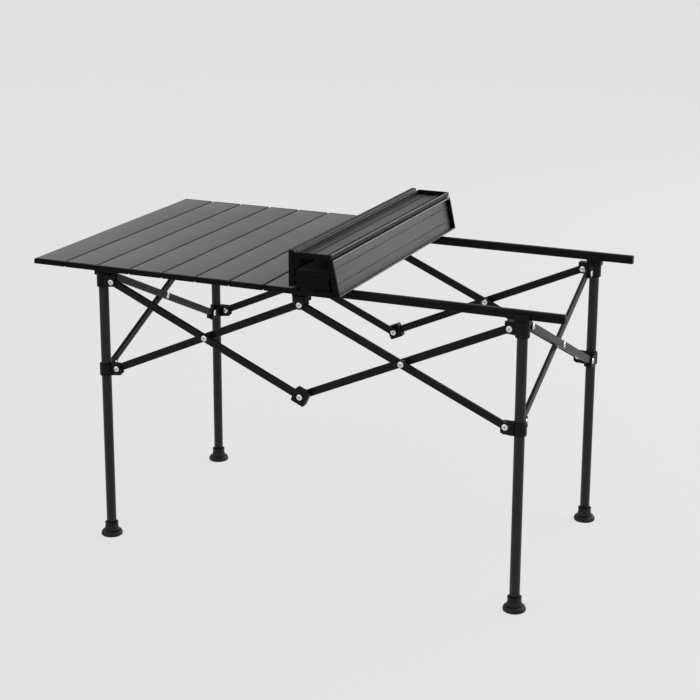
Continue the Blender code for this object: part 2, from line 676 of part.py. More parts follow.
    # Slatted top: slats 8 and 9 lie on the rails, and the others hinge from them to both sides.
    places, hinges = roll_layout()
    top = empty("top_lift", (0, 0, RAIL_TOP), root)
    holders = {n: top for n in LIFT_SLATS}
    for n in range(LIFT_SLATS[0] - 1, 0, -1):
        holders[n] = empty(f"slat_{n:02d}_hinge", hinges[n], holders[n + 1])
    for n in range(LAST_FLAT + 1, SLAT_COUNT + 1):
        holders[n] = empty(f"slat_{n:02d}_hinge", hinges[n], holders[n - 1])
    for n, (at, turn) in places.items():
        copy(f"slat_{n:02d}", slat, holders[n], at, -turn)

    root.location.x += MIDDLE_X
    for pattern in patterns:
        bpy.data.objects.remove(pattern, do_unlink=True)
    print("top", round(TOP_LENGTH, 4), "x", SLAT_LENGTH, "at", round(SLAT_TOP, 4), "bar", round(BAR_LENGTH, 5))
    for n, hinge in sorted(hinges.items()):
        print(f"slat {n} hinge", tuple(round(c, 6) for c in hinge), "turn", round(math.degrees(places[n][1]), 3))


build()
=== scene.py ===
# The folding camp table's looks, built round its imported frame. Metres, Z up.
import json
import math

import bmesh
import bpy
from mathutils import Matrix, Vector

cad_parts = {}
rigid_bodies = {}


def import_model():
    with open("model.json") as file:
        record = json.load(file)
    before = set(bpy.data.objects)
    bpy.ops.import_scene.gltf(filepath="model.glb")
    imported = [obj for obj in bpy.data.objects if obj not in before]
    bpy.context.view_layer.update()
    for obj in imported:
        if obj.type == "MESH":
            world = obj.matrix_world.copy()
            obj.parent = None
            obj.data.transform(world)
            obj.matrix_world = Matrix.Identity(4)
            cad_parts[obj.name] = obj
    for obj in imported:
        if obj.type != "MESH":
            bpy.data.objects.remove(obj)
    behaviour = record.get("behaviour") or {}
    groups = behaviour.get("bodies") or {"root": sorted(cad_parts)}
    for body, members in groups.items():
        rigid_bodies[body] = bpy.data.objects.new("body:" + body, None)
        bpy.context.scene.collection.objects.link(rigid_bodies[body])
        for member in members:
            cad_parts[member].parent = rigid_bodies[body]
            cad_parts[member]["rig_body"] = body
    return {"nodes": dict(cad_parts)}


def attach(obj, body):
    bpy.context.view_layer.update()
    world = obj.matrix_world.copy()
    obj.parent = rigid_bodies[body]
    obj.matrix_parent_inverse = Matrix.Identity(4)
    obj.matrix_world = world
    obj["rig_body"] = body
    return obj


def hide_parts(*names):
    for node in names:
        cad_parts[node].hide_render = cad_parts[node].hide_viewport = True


for left in list(bpy.data.objects):
    bpy.data.objects.remove(left)
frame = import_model()
bpy.context.view_layer.update()
nodes = frame["nodes"]
mm = 0.001
print("frame loaded:", len(nodes), "nodes")

# The frame's legs and pivots, as they are packed.
frameSet = {
    "middle": 15 * mm,  # the frame's middle from the origin, along the table
    "legX": 376 * mm,  # the legs' axes from that middle
    "legY": 205 * mm,
    "span": 355 * mm,  # a bar's length along the table or across it
    "upper": 470 * mm,  # the hubs' pivots
    "lower": 312 * mm,  # the collars' pivots
}
# Which way each corner and side lies from the middle.
corners = {
    "front_left": (-1, -1), "front_right": (1, -1), "back_left": (-1, 1), "back_right": (1, 1)}
longSides = {"front": -1, "back": 1}
shortSides = {"left": -1, "right": 1}


def linear(code):
    channels = [int(code[i:i + 2], 16) / 255 for i in (0, 2, 4)]
    return (*[c / 12.92 if c <= 0.04045 else ((c + 0.055) / 1.055) ** 2.4 for c in channels], 1)


def addNode(tree, kind, inputs=None, **settings):
    # An input takes a value, a socket, a node for its first output, or a list of these.
    node = tree.nodes.new(kind)
    for name, value in settings.items():
        setattr(node, name, value)
    for socket, values in (inputs or {}).items():
        for value in values if isinstance(values, list) else [values]:
            if isinstance(value, bpy.types.Node):
                value = value.outputs[0]
            if isinstance(value, bpy.types.NodeSocket):
                tree.links.new(value, node.inputs[socket])
            else:
                node.inputs[socket].default_value = value
    return node


def newMaterial(name):
    made = bpy.data.materials.new(name)
    made.use_nodes = True
    made.node_tree.nodes.clear()
    return made, made.node_tree


def link(name, mesh):
    made = bpy.data.objects.new(name, mesh)
    bpy.context.scene.collection.objects.link(made)
    return made


def aim(made, place, target):
    made.location = place
    made.rotation_euler = (Vector(target) - made.location).to_track_quat("-Z", "Y").to_euler()


# The photograph's viewing angle, with the lens a little off its middle.
cameraSet = {
    "location": (1.1437, -2.6218, 1.2124),
    "target": (-0.0357, 0.0, 0.455),
    "sensor": 36,
    "lens": 87.29,
    "shift": (0.0357, -0.1),
}
cameraData = bpy.data.cameras.new("camera")
cameraData.sensor_width = cameraSet["sensor"]
cameraData.lens = cameraSet["lens"]
cameraData.shift_x, cameraData.shift_y = cameraSet["shift"]
camera = link("camera", cameraData)
aim(camera, cameraSet["location"], cameraSet["target"])
bpy.context.scene.camera = camera

stageSet = {
    "floor": "e7e7e7",
    "floorSize": 60.0,
    "seenPlain": 0.86,  # share of the floor that shows its plain colour; the rest takes the light
    "sky": "e4e4e4",
    "skyLight": 0.5,
    "lampTarget": (0, 0, 0.35),
    "lamps": {  # place, size and power
        "key": ((2.9, 1.6, 2.3), 3.6, 84.0),
        "fill": ((-1.6, -2.8, 2.2), 2.4, 18.0),
        "edge": ((1.7, 3.6, 1.6), 2.2, 36.0),
    },
}


def seenRays(tree):
    # 1 for what the camera sees, also in a reflection or through glass.
    path = addNode(tree, "ShaderNodeLightPath").outputs
    seen = addNode(tree, "ShaderNodeMath", {0: path["Is Camera Ray"], 1: path["Is Glossy Ray"]},
                   operation="MAXIMUM")
    return addNode(tree, "ShaderNodeMath", {0: seen, 1: path["Is Transmission Ray"]},
                   operation="MAXIMUM")


floorMesh = bpy.data.meshes.new("floor")
reach = stageSet["floorSize"] / 2
floorCorners = [(-reach, -reach, 0), (reach, -reach, 0), (reach, reach, 0), (-reach, reach, 0)]
floorMesh.from_pydata(floorCorners, [], [(0, 1, 2, 3)])
floor = link("floor", floorMesh)
paper, tree = newMaterial("studio_paper")
share = addNode(tree, "ShaderNodeMath", {0: seenRays(tree), 1: stageSet["seenPlain"]},
                operation="MULTIPLY")
lit = addNode(tree, "ShaderNodeBsdfDiffuse", {"Color": linear(stageSet["floor"])})
plain = addNode(tree, "ShaderNodeEmission", {"Color": linear(stageSet["floor"]), "Strength": 1.0})
mixed = addNode(tree, "ShaderNodeMixShader", {0: share, 1: lit, 2: plain})
addNode(tree, "ShaderNodeOutputMaterial", {"Surface": mixed})
floorMesh.materials.append(paper)

world = bpy.data.worlds.new("studio")
bpy.context.scene.world = world
world.use_nodes = True
tree = world.node_tree
tree.nodes.clear()
around = addNode(tree, "ShaderNodeBackground", {
    "Color": (1, 1, 1, 1), "Strength": stageSet["skyLight"]})
backdrop = addNode(tree, "ShaderNodeBackground", {
    "Color": linear(stageSet["sky"]), "Strength": 1.0})
mixed = addNode(tree, "ShaderNodeMixShader", {0: seenRays(tree), 1: around, 2: backdrop})
addNode(tree, "ShaderNodeOutputWorld", {"Surface": mixed})

for name, (place, size, power) in stageSet["lamps"].items():
    lampData = bpy.data.lights.new(name, "AREA")
    lampData.shape = "DISK"
    lampData.size = size
    lampData.energy = power
    aim(link(name, lampData), place, stageSet["lampTarget"])
bpy.context.scene.view_settings.view_transform = "Standard"
print("camera, floor and light made")


def dressed(tree, look, share, skin, **uniform):
    # The closing shader. The share from dark to light and the skin vary, and come as nodes; what is
    # the same all over goes on the shader itself.
    colour = addNode(tree, "ShaderNodeMix", {
        "Factor": share, 6: linear(look["dark"]), 7: linear(look["light"])}, data_type="RGBA")
    middle, (smoother, duller) = look["roughness"], look["spread"]
    rough = addNode(tree, "ShaderNodeMapRange", {
        "Value": skin, "To Min": middle - smoother, "To Max": middle + duller})
    bump = addNode(tree, "ShaderNodeBump", {
        "Strength": look["bump"], "Distance": look["relief"], "Height": skin})
    shader = addNode(tree, "ShaderNodeBsdfPrincipled", {
        "Base Color": colour.outputs[2], "Roughness": rough, "Normal": bump, **uniform})
    addNode(tree, "ShaderNodeOutputMaterial", {"Surface": shader})


slatFinish = {
    "stretch": 625 * mm,  # length of the lines' pattern along the slat
    "cloud": 200 * mm,  # size of the change of tone
    "tone": (0.6, 1.4),
    "spread": (0.07, 0.08),
    "relief": 0.2 * mm,
}


def slatAluminium(name, own):
    # Extruded aluminium, grey anodised: satin, with fine lines along each slat from the die and
    # the brush, and a faint change of tone.
    made, tree = newMaterial(name)
    look = {**slatFinish, **own}
    place = addNode(tree, "ShaderNodeTexCoord").outputs["Object"]
    fine = 1 / look["lineSpacing"]  # 0.3 mm apart on real slats, drawn coarser so that they show
    along = addNode(tree, "ShaderNodeMapping", {
        "Vector": place, "Scale": (fine, 1 / look["stretch"], fine)})
    lines = addNode(tree, "ShaderNodeTexNoise", {
        "Vector": along, "Scale": 1.0, "Detail": 3.0, "Roughness": 0.6})
    cloud = addNode(tree, "ShaderNodeTexNoise", {
        "Vector": place, "Scale": 1 / look["cloud"], "Detail": 2.0})
    both = addNode(tree, "ShaderNodeMath", {0: lines, 1: cloud}, operation="ADD")
    tone = addNode(tree, "ShaderNodeMapRange", {
        "Value": both, "From Min": look["tone"][0], "From Max": look["tone"][1]})
    dressed(tree, look, tone, lines, Metallic=look["metallic"])
    return made


slatFace = slatAluminium("anodised_aluminium_extruded", {
    "dark": "4d4f4e", "light": "686a69", "roughness": 0.44, "lineSpacing": 1.5 * mm,
    "bump": 0.07, "metallic": 0.75})
# The walls, rib sides and shoulders are near-black: painted shade for the gaps between slats and
# for the inside of the channel.
slatPaintedShade = slatAluminium("anodised_aluminium_painted_shade", {
    "dark": "191a1a", "light": "2b2c2c", "roughness": 0.6, "lineSpacing": 3 * mm,
    "bump": 0.12, "metallic": 0.6})
# The underside is darker than the face, partly as painted shade inside the channel, and is duller,
# with coarser lines, as it leaves the die.
slatUnderShaded = slatAluminium("anodised_aluminium_underside_painted_shade", {
    "dark": "3c3e3d", "light": "5c5e5d", "roughness": 0.5, "lineSpacing": 3 * mm,
    "bump": 0.12, "metallic": 0.7})

coatFinish = {
    "patch": 55.6 * mm,  # size of the rubbed patches
    "tone": (0.3, 0.7),
    "spread": (0.08, 0.1),
    "relief": 0.1 * mm,
}


def coated(name, own):
    # A near-black surface with a fine pebbled skin, rubbed a little lighter in soft patches.
    made, tree = newMaterial(name)
    look = {**coatFinish, **own}
    place = addNode(tree, "ShaderNodeTexCoord").outputs["Object"]
    grain = addNode(tree, "ShaderNodeTexNoise", {
        "Vector": place, "Scale": 1 / look["grain"], "Detail": 2.0})
    rubbed = addNode(tree, "ShaderNodeTexNoise", {
        "Vector": place, "Scale": 1 / look["patch"], "Detail": 4.0, "Roughness": 0.6})
    tone = addNode(tree, "ShaderNodeMapRange", {
        "Value": rubbed, "From Min": look["tone"][0], "From Max": look["tone"][1]})
    dressed(tree, look, tone, grain, IOR=look["ior"])
    return made


# Powder-coated aluminium: half matt, with the coat's orange peel (0.3 mm, drawn at 0.9 mm).
tubeCoat = coated("powder_coated_aluminium_tube", {
    "dark": "111112", "light": "1a1a1b", "roughness": 0.38, "grain": 0.9 * mm,
    "bump": 0.2, "ior": 1.34})
barCoat = coated("powder_coated_aluminium_strip", {
    "dark": "0b0b0c", "light": "121213", "roughness": 0.34, "grain": 0.9 * mm,
    "bump": 0.15, "ior": 1.24})
railCoat = coated("powder_coated_aluminium_rail", {
    "dark": "080808", "light": "0f0f0e", "roughness": 0.4, "grain": 0.9 * mm,
    "bump": 0.2, "ior": 1.19})
# Glass-filled nylon, moulded: dull black, with a spark-eroded texture (0.1 mm, drawn at 0.6 mm).
fittingNylon = coated("glass_filled_nylon_moulded", {
    "dark": "0b0b0c", "light": "121213", "roughness": 0.48, "grain": 0.6 * mm,
    "bump": 0.25, "ior": 1.22})
capNylon = coated("nylon_cap_moulded", {
    "dark": "060606", "light": "0b0b0b", "roughness": 0.5, "grain": 0.6 * mm,
    "bump": 0.25, "ior": 1.16})
# Moulded rubber: black and matt, a touch dusty.
footRubber = coated("rubber_moulded", {
    "dark": "0c0c0c", "light": "161616", "roughness": 0.52, "grain": 0.7 * mm,
    "bump": 0.3, "ior": 1.34})


steelFinish = {
    "marks": 1.11 * mm,  # 0.2 mm apart on real heads, drawn coarser
    "spread": (0.06, 0.1),
    "bump": 0.1,
    "relief": 0.05 * mm,
}


def rivetSteel(name, own):
    # Nickel-plated steel, tumbled: bright, with soft small marks.
    made, tree = newMaterial(name)
    look = {**steelFinish, **own}
    place = addNode(tree, "ShaderNodeTexCoord").outputs["Object"]
    marks = addNode(tree, "ShaderNodeTexNoise", {
        "Vector": place, "Scale": 1 / look["marks"], "Detail": 3.0})
    dressed(tree, look, marks, marks, Metallic=1.0)
    return made


headSteel = rivetSteel("nickel_plated_steel_tumbled", {
    "dark": "c4c4c2", "light": "ececea", "roughness": 0.26})
# A head's eye is painted greyer, as painted shade in its hollow, and is duller.
eyePaintedShade = rivetSteel("nickel_plated_steel_eye_painted_shade", {
    "dark": "6a6a69", "light": "8c8c8a", "roughness": 0.4})
finishes = {"slats": slatFace, "rails": railCoat, "bars": barCoat, "legs": tubeCoat,
            "joint_fittings": fittingNylon, "feet": footRubber, "rivets": headSteel}
print("materials made")


def geometryTree(name, inputs):
    # An empty tree with named inputs, and the node that gives them.
    made = bpy.data.node_groups.new(name, "GeometryNodeTree")
    for way in ("INPUT", "OUTPUT"):
        made.interface.new_socket("Geometry", in_out=way, socket_type="NodeSocketGeometry")
    for label, kind in inputs.items():
        made.interface.new_socket(label, in_out="INPUT", socket_type="NodeSocket" + kind)
    return made, addNode(made, "NodeGroupInput").outputs


def plainMesh(holder):
    # What an object's modifiers make of its mesh.
    bpy.context.view_layer.update()
    graph = bpy.context.evaluated_depsgraph_get()
    return bpy.data.meshes.new_from_object(holder.evaluated_get(graph), depsgraph=graph)


def grown(name, tree, base, values):
    # What the tree makes of a base mesh.
    holder = link(name, base)
    step = holder.modifiers.new(name, "NODES")
    step.node_group = tree
    for socket in tree.interface.items_tree:
        if socket.in_out == "INPUT" and socket.name in values:
            step[socket.identifier] = values[socket.name]
    mesh = plainMesh(holder)
    bpy.data.objects.remove(holder)
    while mesh.materials and mesh.materials[0] is None:
        mesh.materials.pop(index=0)
    return mesh


def finished(name, shape):
    mesh = bpy.data.meshes.new(name)
    shape.to_mesh(mesh)
    shape.free()
    return mesh


def put(name, mesh, body, replaced=(), angle=35):
    # A finished piece: shaded and hung on its body, with the pieces it replaces hidden.
    made = link(name, mesh)
    mesh.shade_smooth()
    mesh.set_sharp_from_angle(angle=math.radians(angle))
    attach(made, body)
    if replaced:
        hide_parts(*replaced)
    return made


def ease(made, width, angle, segments=2):
    # Every edge sharper than the angle gets a small round.
    edge = made.modifiers.new("eased", "BEVEL")
    edge.width = width
    edge.segments = segments
    edge.limit_method = "ANGLE"
    edge.angle_limit = math.radians(angle)
    edge.harden_normals = True


def bodyOf(nodeName):
    return nodes[nodeName]["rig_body"]


def arcPoints(x, y, radius, start, end, steps=4):
    angles = [math.radians(start + (end - start) * i / steps) for i in range(steps + 1)]
    return [(x + radius * math.cos(a), y + radius * math.sin(a)) for a in angles]


# Slats: a channel open below, with a moulded cap at each end and two cord holes in either wall.
slatSet = {
    "length": 534 * mm,
    "width": 59.8 * mm,
    "thick": 9 * mm,
    "plate": 1.2 * mm,
    "flange": 1.2 * mm,
    "lip": 1.6 * mm,
    "lipRise": 0.4,  # the lip's slope, as a share of the flange
    "topRound": 2.3 * mm,
    "bottomRound": 1.0 * mm,
    "ribFromEdge": 17 * mm,
    "ribThick": 1.4 * mm,
    "ribDepth": 1.8 * mm,
    "capLength": 4 * mm,
    "cordFromEnd": 95 * mm,
    "holeRadius": 2 * mm,
    "holeFacets": 16,
    "drillPast": 2 * mm,
    "weld": 0.005 * mm,
    "ease": 0.25 * mm,
    "easeAngle": 50,
    # Where the painted shade goes: the bottom's depth, the turn of a wall (faces turned further
    # take the near-black painted shade) and the depth of the inside (past it, the underside's
    # partly painted shade).
    "bottomDepth": 0.6 * mm,
    "wallTurn": 0.3,
    "insideDepth": 0.9 * mm,
    "left": -459 * mm,
    "pitch": 62.2 * mm,
    "top": 511.8 * mm,
    "flat": 9,
    # The slats that are rolled up: the left edge's top line in mm, and the turn in degrees.
    "rolled": {
        10: (100.264, 503.234, 102),
        11: (94.109, 563.445, 180),
        12: (29.909, 574.445, 270),
        13: (32.709, 524.245, 0),
        14: (90.509, 524.645, 180),
        15: (31.709, 543.045, 0),
    },
}


def slatSections(s):
    # The channel's section and the cap's, as two flat faces; the cap's is marked.
    w, t, e, b, f = s["width"], s["thick"], s["topRound"], s["bottomRound"], s["flange"]
    outer = arcPoints(e, -e, e, 90, 180) + arcPoints(b, b - t, b, 180, 270, 5)
    lip, under, rib = f + s["lip"], -s["plate"], s["ribFromEdge"]
    ribEnd, ribLow = rib + s["ribThick"], under - s["ribDepth"]
    inner = [(lip, -t), (lip, f - t), (f, (1 + s["lipRise"]) * f - t), (f, under), (rib, under),
             (rib, ribLow), (ribEnd, ribLow), (ribEnd, under)]
    shape = bmesh.new()
    mark = shape.faces.layers.bool.new("cap")
    for isCap, half in ((False, outer + inner), (True, outer)):
        ring = half + [(w - x, y) for x, y in half[::-1]]
        face = shape.faces.new([shape.verts.new((x, y, 0)) for x, y in ring])
        face[mark] = isCap
    return finished("slatSections", shape)


def pulled(tree, face, low, length):
    # A flat face drawn out into a closed bar, from a height upward.
    place = addNode(tree, "ShaderNodeCombineXYZ", {"Z": low})
    start = addNode(tree, "GeometryNodeTransform", {"Geometry": face, "Translation": place})
    drawn = addNode(tree, "GeometryNodeExtrudeMesh", {
        "Mesh": start, "Offset Scale": length, "Individual": False})
    back = addNode(tree, "GeometryNodeFlipFaces", {"Mesh": start})
    whole = addNode(tree, "GeometryNodeJoinGeometry", {"Geometry": [drawn, back]})
    return addNode(tree, "GeometryNodeMergeByDistance", {
        "Geometry": whole, "Distance": slatSet["weld"]})


def slatTree(s):
    tree, given = geometryTree("slat", {
        "Length": "Float", "Cap Length": "Float", "Width": "Float", "Thickness": "Float",
        "Cord From End": "Float", "Hole Radius": "Float", "Metal": "Material", "Cap": "Material"})
    isCap = addNode(tree, "GeometryNodeInputNamedAttribute", {"Name": "cap"}, data_type="BOOLEAN")
    split = addNode(tree, "GeometryNodeSeparateGeometry", {
        "Geometry": given["Geometry"], "Selection": isCap}, domain="FACE").outputs
    end = addNode(tree, "ShaderNodeMath", {0: given["Length"], 1: 0.5}, operation="MULTIPLY")
    otherEnd = addNode(tree, "ShaderNodeMath", {0: end, 1: -1.0}, operation="MULTIPLY")
    metalEnd = addNode(tree, "ShaderNodeMath", {0: end, 1: given["Cap Length"]},
                       operation="SUBTRACT")
    metalStart = addNode(tree, "ShaderNodeMath", {0: metalEnd, 1: -1.0}, operation="MULTIPLY")
    metalLength = addNode(tree, "ShaderNodeMath", {0: metalEnd, 1: 2.0}, operation="MULTIPLY")
    channel = pulled(tree, split["Inverted"], metalStart, metalLength)
    capEnds = [pulled(tree, split["Selection"], low, given["Cap Length"])
               for low in (metalEnd, otherEnd)]
    caps = addNode(tree, "GeometryNodeJoinGeometry", {"Geometry": capEnds})

    middle = addNode(tree, "ShaderNodeMath", {0: given["Width"], 1: 0.5}, operation="MULTIPLY")
    depth = addNode(tree, "ShaderNodeMath", {0: given["Thickness"], 1: -0.5}, operation="MULTIPLY")
    along = addNode(tree, "ShaderNodeMath", {0: end, 1: given["Cord From End"]},
                    operation="SUBTRACT")
    back = addNode(tree, "ShaderNodeMath", {0: along, 1: -1.0}, operation="MULTIPLY")
    through = addNode(tree, "ShaderNodeMath", {0: given["Width"], 1: s["drillPast"]},
                      operation="ADD")
    rod = addNode(tree, "GeometryNodeMeshCylinder", {
        "Vertices": s["holeFacets"], "Radius": given["Hole Radius"], "Depth": through})
    laid = addNode(tree, "GeometryNodeTransform", {
        "Geometry": rod, "Rotation": (0, math.pi / 2, 0)})
    drills = []
    for z in (along, back):
        place = addNode(tree, "ShaderNodeCombineXYZ", {"X": middle, "Y": depth, "Z": z})
        drills.append(addNode(tree, "GeometryNodeTransform", {
            "Geometry": laid, "Translation": place}))
    drill = addNode(tree, "GeometryNodeJoinGeometry", {"Geometry": drills})
    drilled = addNode(tree, "GeometryNodeMeshBoolean", {"Mesh 1": channel, "Mesh 2": drill},
                      operation="DIFFERENCE", solver="EXACT")

    parts = [addNode(tree, "GeometryNodeStoreNamedAttribute", {
        "Geometry": shape, "Name": "part", "Value": number}, data_type="INT", domain="FACE")
        for number, shape in enumerate((drilled, caps))]
    whole = addNode(tree, "GeometryNodeJoinGeometry", {"Geometry": parts})
    shape = addNode(tree, "GeometryNodeRealizeInstances", {"Geometry": whole})
    part = addNode(tree, "GeometryNodeInputNamedAttribute", {"Name": "part"}, data_type="INT")
    for number, label in enumerate(("Metal", "Cap")):
        chosen = addNode(tree, "FunctionNodeCompare", {2: part, 3: number},
                         data_type="INT", operation="EQUAL")
        shape = addNode(tree, "GeometryNodeSetMaterial", {
            "Geometry": shape, "Selection": chosen, "Material": given[label]})
    addNode(tree, "NodeGroupOutput", {"Geometry": shape})
    return tree


slat = grown("slat", slatTree(slatSet), slatSections(slatSet), {
    "Length": slatSet["length"], "Cap Length": slatSet["capLength"], "Width": slatSet["width"],
    "Thickness": slatSet["thick"], "Cord From End": slatSet["cordFromEnd"],
    "Hole Radius": slatSet["holeRadius"], "Metal": finishes["slats"], "Cap": capNylon})
paintedShadeIndex, underShadeIndex = len(slat.materials), len(slat.materials) + 1
slat.materials.append(slatPaintedShade)
slat.materials.append(slatUnderShaded)
halfWidth, inside = slatSet["width"] / 2, slatSet["insideDepth"]
# Sideways faces of the metal get the near-black painted shade, and the inside of the channel gets
# the darker underside, partly painted shade. The face and the bottom keep their finish.
for face in slat.polygons:
    x, y, z = face.center
    if face.material_index == 0 and y > slatSet["bottomDepth"] - slatSet["thick"]:
        if abs(face.normal.x) > slatSet["wallTurn"]:
            face.material_index = paintedShadeIndex
        elif abs(x - halfWidth) < halfWidth - inside and y < -inside:
            face.material_index = underShadeIndex
upright = Matrix.Rotation(math.pi / 2, 4, "X")  # the section's own up becomes the row's
slatPlaces = {}
for number in range(1, slatSet["flat"] + 1):
    slatPlaces[number] = (slatSet["left"] + (number - 1) * slatSet["pitch"], slatSet["top"], 0.0)
for number, (x, z, turn) in slatSet["rolled"].items():
    slatPlaces[number] = (x * mm, z * mm, math.radians(turn))
for number, (x, z, turn) in slatPlaces.items():
    nodeName = f"slat_{number:02d}"
    mesh = slat.copy()
    mesh.transform(Matrix.Translation((x, 0, z)) @ Matrix.Rotation(-turn, 4, "Y") @ upright)
    made = put(nodeName + "_extrusion", mesh, bodyOf(nodeName), [nodeName])
    ease(made, slatSet["ease"], slatSet["easeAngle"])
print("slats made:", len(slatPlaces), "of", len(slat.polygons), "faces")

# Rivets: a domed head with a punched eye, at each face that a rivet comes through.
rivetSet = {
    "radius": 5.3 * mm,
    "height": 1.75 * mm,
    "eye": 1.7 * mm,
    "eyeDepth": 0.7 * mm,
    "eyeFloor": 0.6,  # share of the eye's radius that is its floor,
    "eyeShadeShare": 0.8,  # and the share that takes the painted shade of the hollow
    "columns": 33,
    "rows": 17,
    "weld": 0.002 * mm,
    "smooth": 60,
    "bar": 9.1 * mm,  # seats, from the middle plane of the lug: on a bar,
    "plate": 2.5 * mm,  # on the lug's own plate,
    "cheek": 11.3 * mm,  # and on its outer plate, or the shoe of the lower middle pivot
}


def rivetSeats(s, f):
    # Every head by body: where its underside lies, and the way it faces.
    seats = {}

    def seat(body, at, axis, plus, minus):
        for way, gap in ((1, plus), (-1, minus)):
            facing = Vector((way, 0, 0) if axis == "X" else (0, way, 0))
            seats.setdefault(body, []).append((Vector(at) + facing * gap, facing))

    legX, legY, span, middleX = f["legX"], f["legY"], f["span"], f["middle"]
    plate, bar, cheek = s["plate"], s["bar"], s["cheek"]
    for corner, (sx, sy) in corners.items():
        even = sx == sy  # front left and back right are alike, and so are the other two
        for part, z, way in (("leg", f["upper"], 1), ("slider", f["lower"], -1)):
            out = way * (1 if even else -1)  # the bar is on the lug's outer side
            faces = (cheek, plate) if out * sy > 0 else (plate, cheek)
            seat(f"{corner}_{part}", (sx * span + middleX, sy * legY, z), "Y", *faces)
            outer = bar if part == "leg" else cheek  # the hubs' short lugs have no outer plate
            faces = (outer, plate) if way * sy < 0 else (plate, outer)
            seat(f"{corner}_{part}", (sx * legX + middleX, sy * span / 2, z), "X", *faces)
    crossing = (f["upper"] + f["lower"]) / 2
    for side, sy in longSides.items():
        seat(f"{side}_rail", (middleX, sy * legY, f["upper"]), "Y", cheek, cheek)
        outer = (bar, cheek) if sy < 0 else (cheek, bar)
        seat(f"{side}_bar_1", (middleX, sy * legY, f["lower"]), "Y", *outer)
        for word, sx in shortSides.items():
            body = bodyOf(f"{side}_{word}_crossing")
            seat(body, (sx * span / 2 + middleX, sy * legY, crossing), "Y", bar, bar)
    for word, sx in shortSides.items():
        seat(bodyOf(f"{word}_crossing"), (sx * legX + middleX, 0, crossing), "X", bar, bar)
    return seats


seatsOn = rivetSeats(rivetSet, frameSet)

# Bars, rails and shoes: the frame's own forms, with their edges eased and their rivets pressed flat
# under the finer heads that come last.
easedSet = {
    "width": 0.35 * mm,
    "angle": 38,
    "weld": 0.002 * mm,
    "flat": 0.8,  # faces that turn by less than this many degrees become one
    "headRadius": 4.6 * mm,  # a rivet's points lie this near its axis,
    "headHeight": 3 * mm,  # stand no further out than this,
    "headLeft": 0.3 * mm,  # and are pressed down to this height
}


def easedCopy(nodeName, seats, s):
    source = nodes[nodeName]
    slot = source.material_slots[0].material.name.split(".")[0]
    shape = bmesh.new()
    shape.from_mesh(source.data)
    bmesh.ops.remove_doubles(shape, verts=shape.verts, dist=s["weld"])
    bmesh.ops.dissolve_limit(shape, angle_limit=math.radians(s["flat"]), verts=shape.verts,
                             edges=shape.edges)
    for at, facing in seats:
        for vert in shape.verts:
            out = (vert.co - at).dot(facing)
            aside = (vert.co - at - facing * out).length
            if s["headLeft"] < out < s["headHeight"] and aside < s["headRadius"]:
                vert.co -= facing * (out - s["headLeft"])
    mesh = finished(nodeName, shape)
    mesh.materials.append(finishes[slot])
    made = put(nodeName + "_eased", mesh, bodyOf(nodeName), [nodeName], s["angle"])
    ease(made, s["width"], s["angle"])


madeAnew = ("_leg", "_foot", "_hub", "_slider", "_bracket")
for nodeName in sorted(nodes):
    if not nodeName.startswith("slat_") and not nodeName.endswith(madeAnew):
        easedCopy(nodeName, seatsOn.get(bodyOf(nodeName), []), easedSet)
print("bars, rails and shoes eased")


def turnedMesh(name, profile, centre, finish, facets=64):
    # A profile of (radius, height) in mm, from the top down its outer side, turned about a
    # vertical axis.
    shape = bmesh.new()
    rings = []
    for radius, height in profile:
        count = facets if radius > 0 else 1
        turns = [2 * math.pi * i / facets for i in range(count)]
        rings.append([shape.verts.new(Vector(centre) + Vector(
            (radius * math.cos(a), radius * math.sin(a), height)) * mm) for a in turns])
    for upper, lower in zip(rings, rings[1:]):
        for i in range(facets):
            j = (i + 1) % facets
            ring = [upper[i % len(upper)], lower[i % len(lower)],
                    lower[j % len(lower)], upper[j % len(upper)]]
            shape.faces.new(list(dict.fromkeys(ring)))
    bmesh.ops.recalc_face_normals(shape, faces=shape.faces)
    mesh = finished(name, shape)
    mesh.materials.append(finish)
    return mesh


# Legs, feet and the black rings on the collars' tops, in mm: turned about the legs' axes. The rings
# are painted shade for the gap round each leg.
legSet = {
    "radius": 8.5,
    "wall": 1.2,
    "low": 4.3,
    "high": 481.7,
    "endRound": 0.4,
    "rings": (320.0, 160.0),  # heights that part the long wall
}
footSet = {
    "collar": 11.9,
    "top": 24.0,
    "rim": 3.0,  # height of the rim round the collar
    "rimRound": 0.7,
    "neck": 11.1,
    "neckStart": [(-0.3, -0.3), (0.0, -0.8)],  # from the neck's radius and the rim's underside
    "neckFoot": (0.6, 15.5),  # how much wider the neck gets, and the height where it does
    "skirt": 13.3,  # radius where the neck meets the crease
    "crease": 9.2,  # the crease's height over the floor
    # From the skirt's radius and the crease's height, downward.
    "fold": [(-0.9, 3.0), (0.0, 1.2), (0.1, 0.7), (-0.9, 0.2), (-0.8, -0.3), (0.5, -0.1)],
    # The brim's radius, and its height from the crease.
    "brim": [(15.4, -0.4), (16.9, -1.3), (18.0, -2.7), (18.7, -4.4)],
    "radius": 19.0,
    # From the foot's radius, and the height over the floor.
    "sole": [(0.0, 3.2), (0.0, 1.8), (-0.3, 0.8), (-1.1, 0.1), (-1.6, 0.0)],
    "arch": 12.0,
    "archHeight": 1.0,
    "socket": 8.65,
    "socketFloor": 4.0,
    "lead": 0.4,  # slope at the mouths of the arch and the socket
}
shadeRingSet = {"bore": 9.1, "radius": 10.6, "low": 8.3, "high": 8.75, "round": 0.3}


def tubeProfile(s):
    r, e, low, high = s["radius"], s["endRound"], s["low"], s["high"]
    inner = r - s["wall"]
    outer = arcPoints(r - e, high - e, e, 90, 0, 2) + [(r, z) for z in s["rings"]]
    outer += arcPoints(r - e, low + e, e, 0, -90, 2)
    return [(inner, high), *outer, (inner, low), (inner, high)]


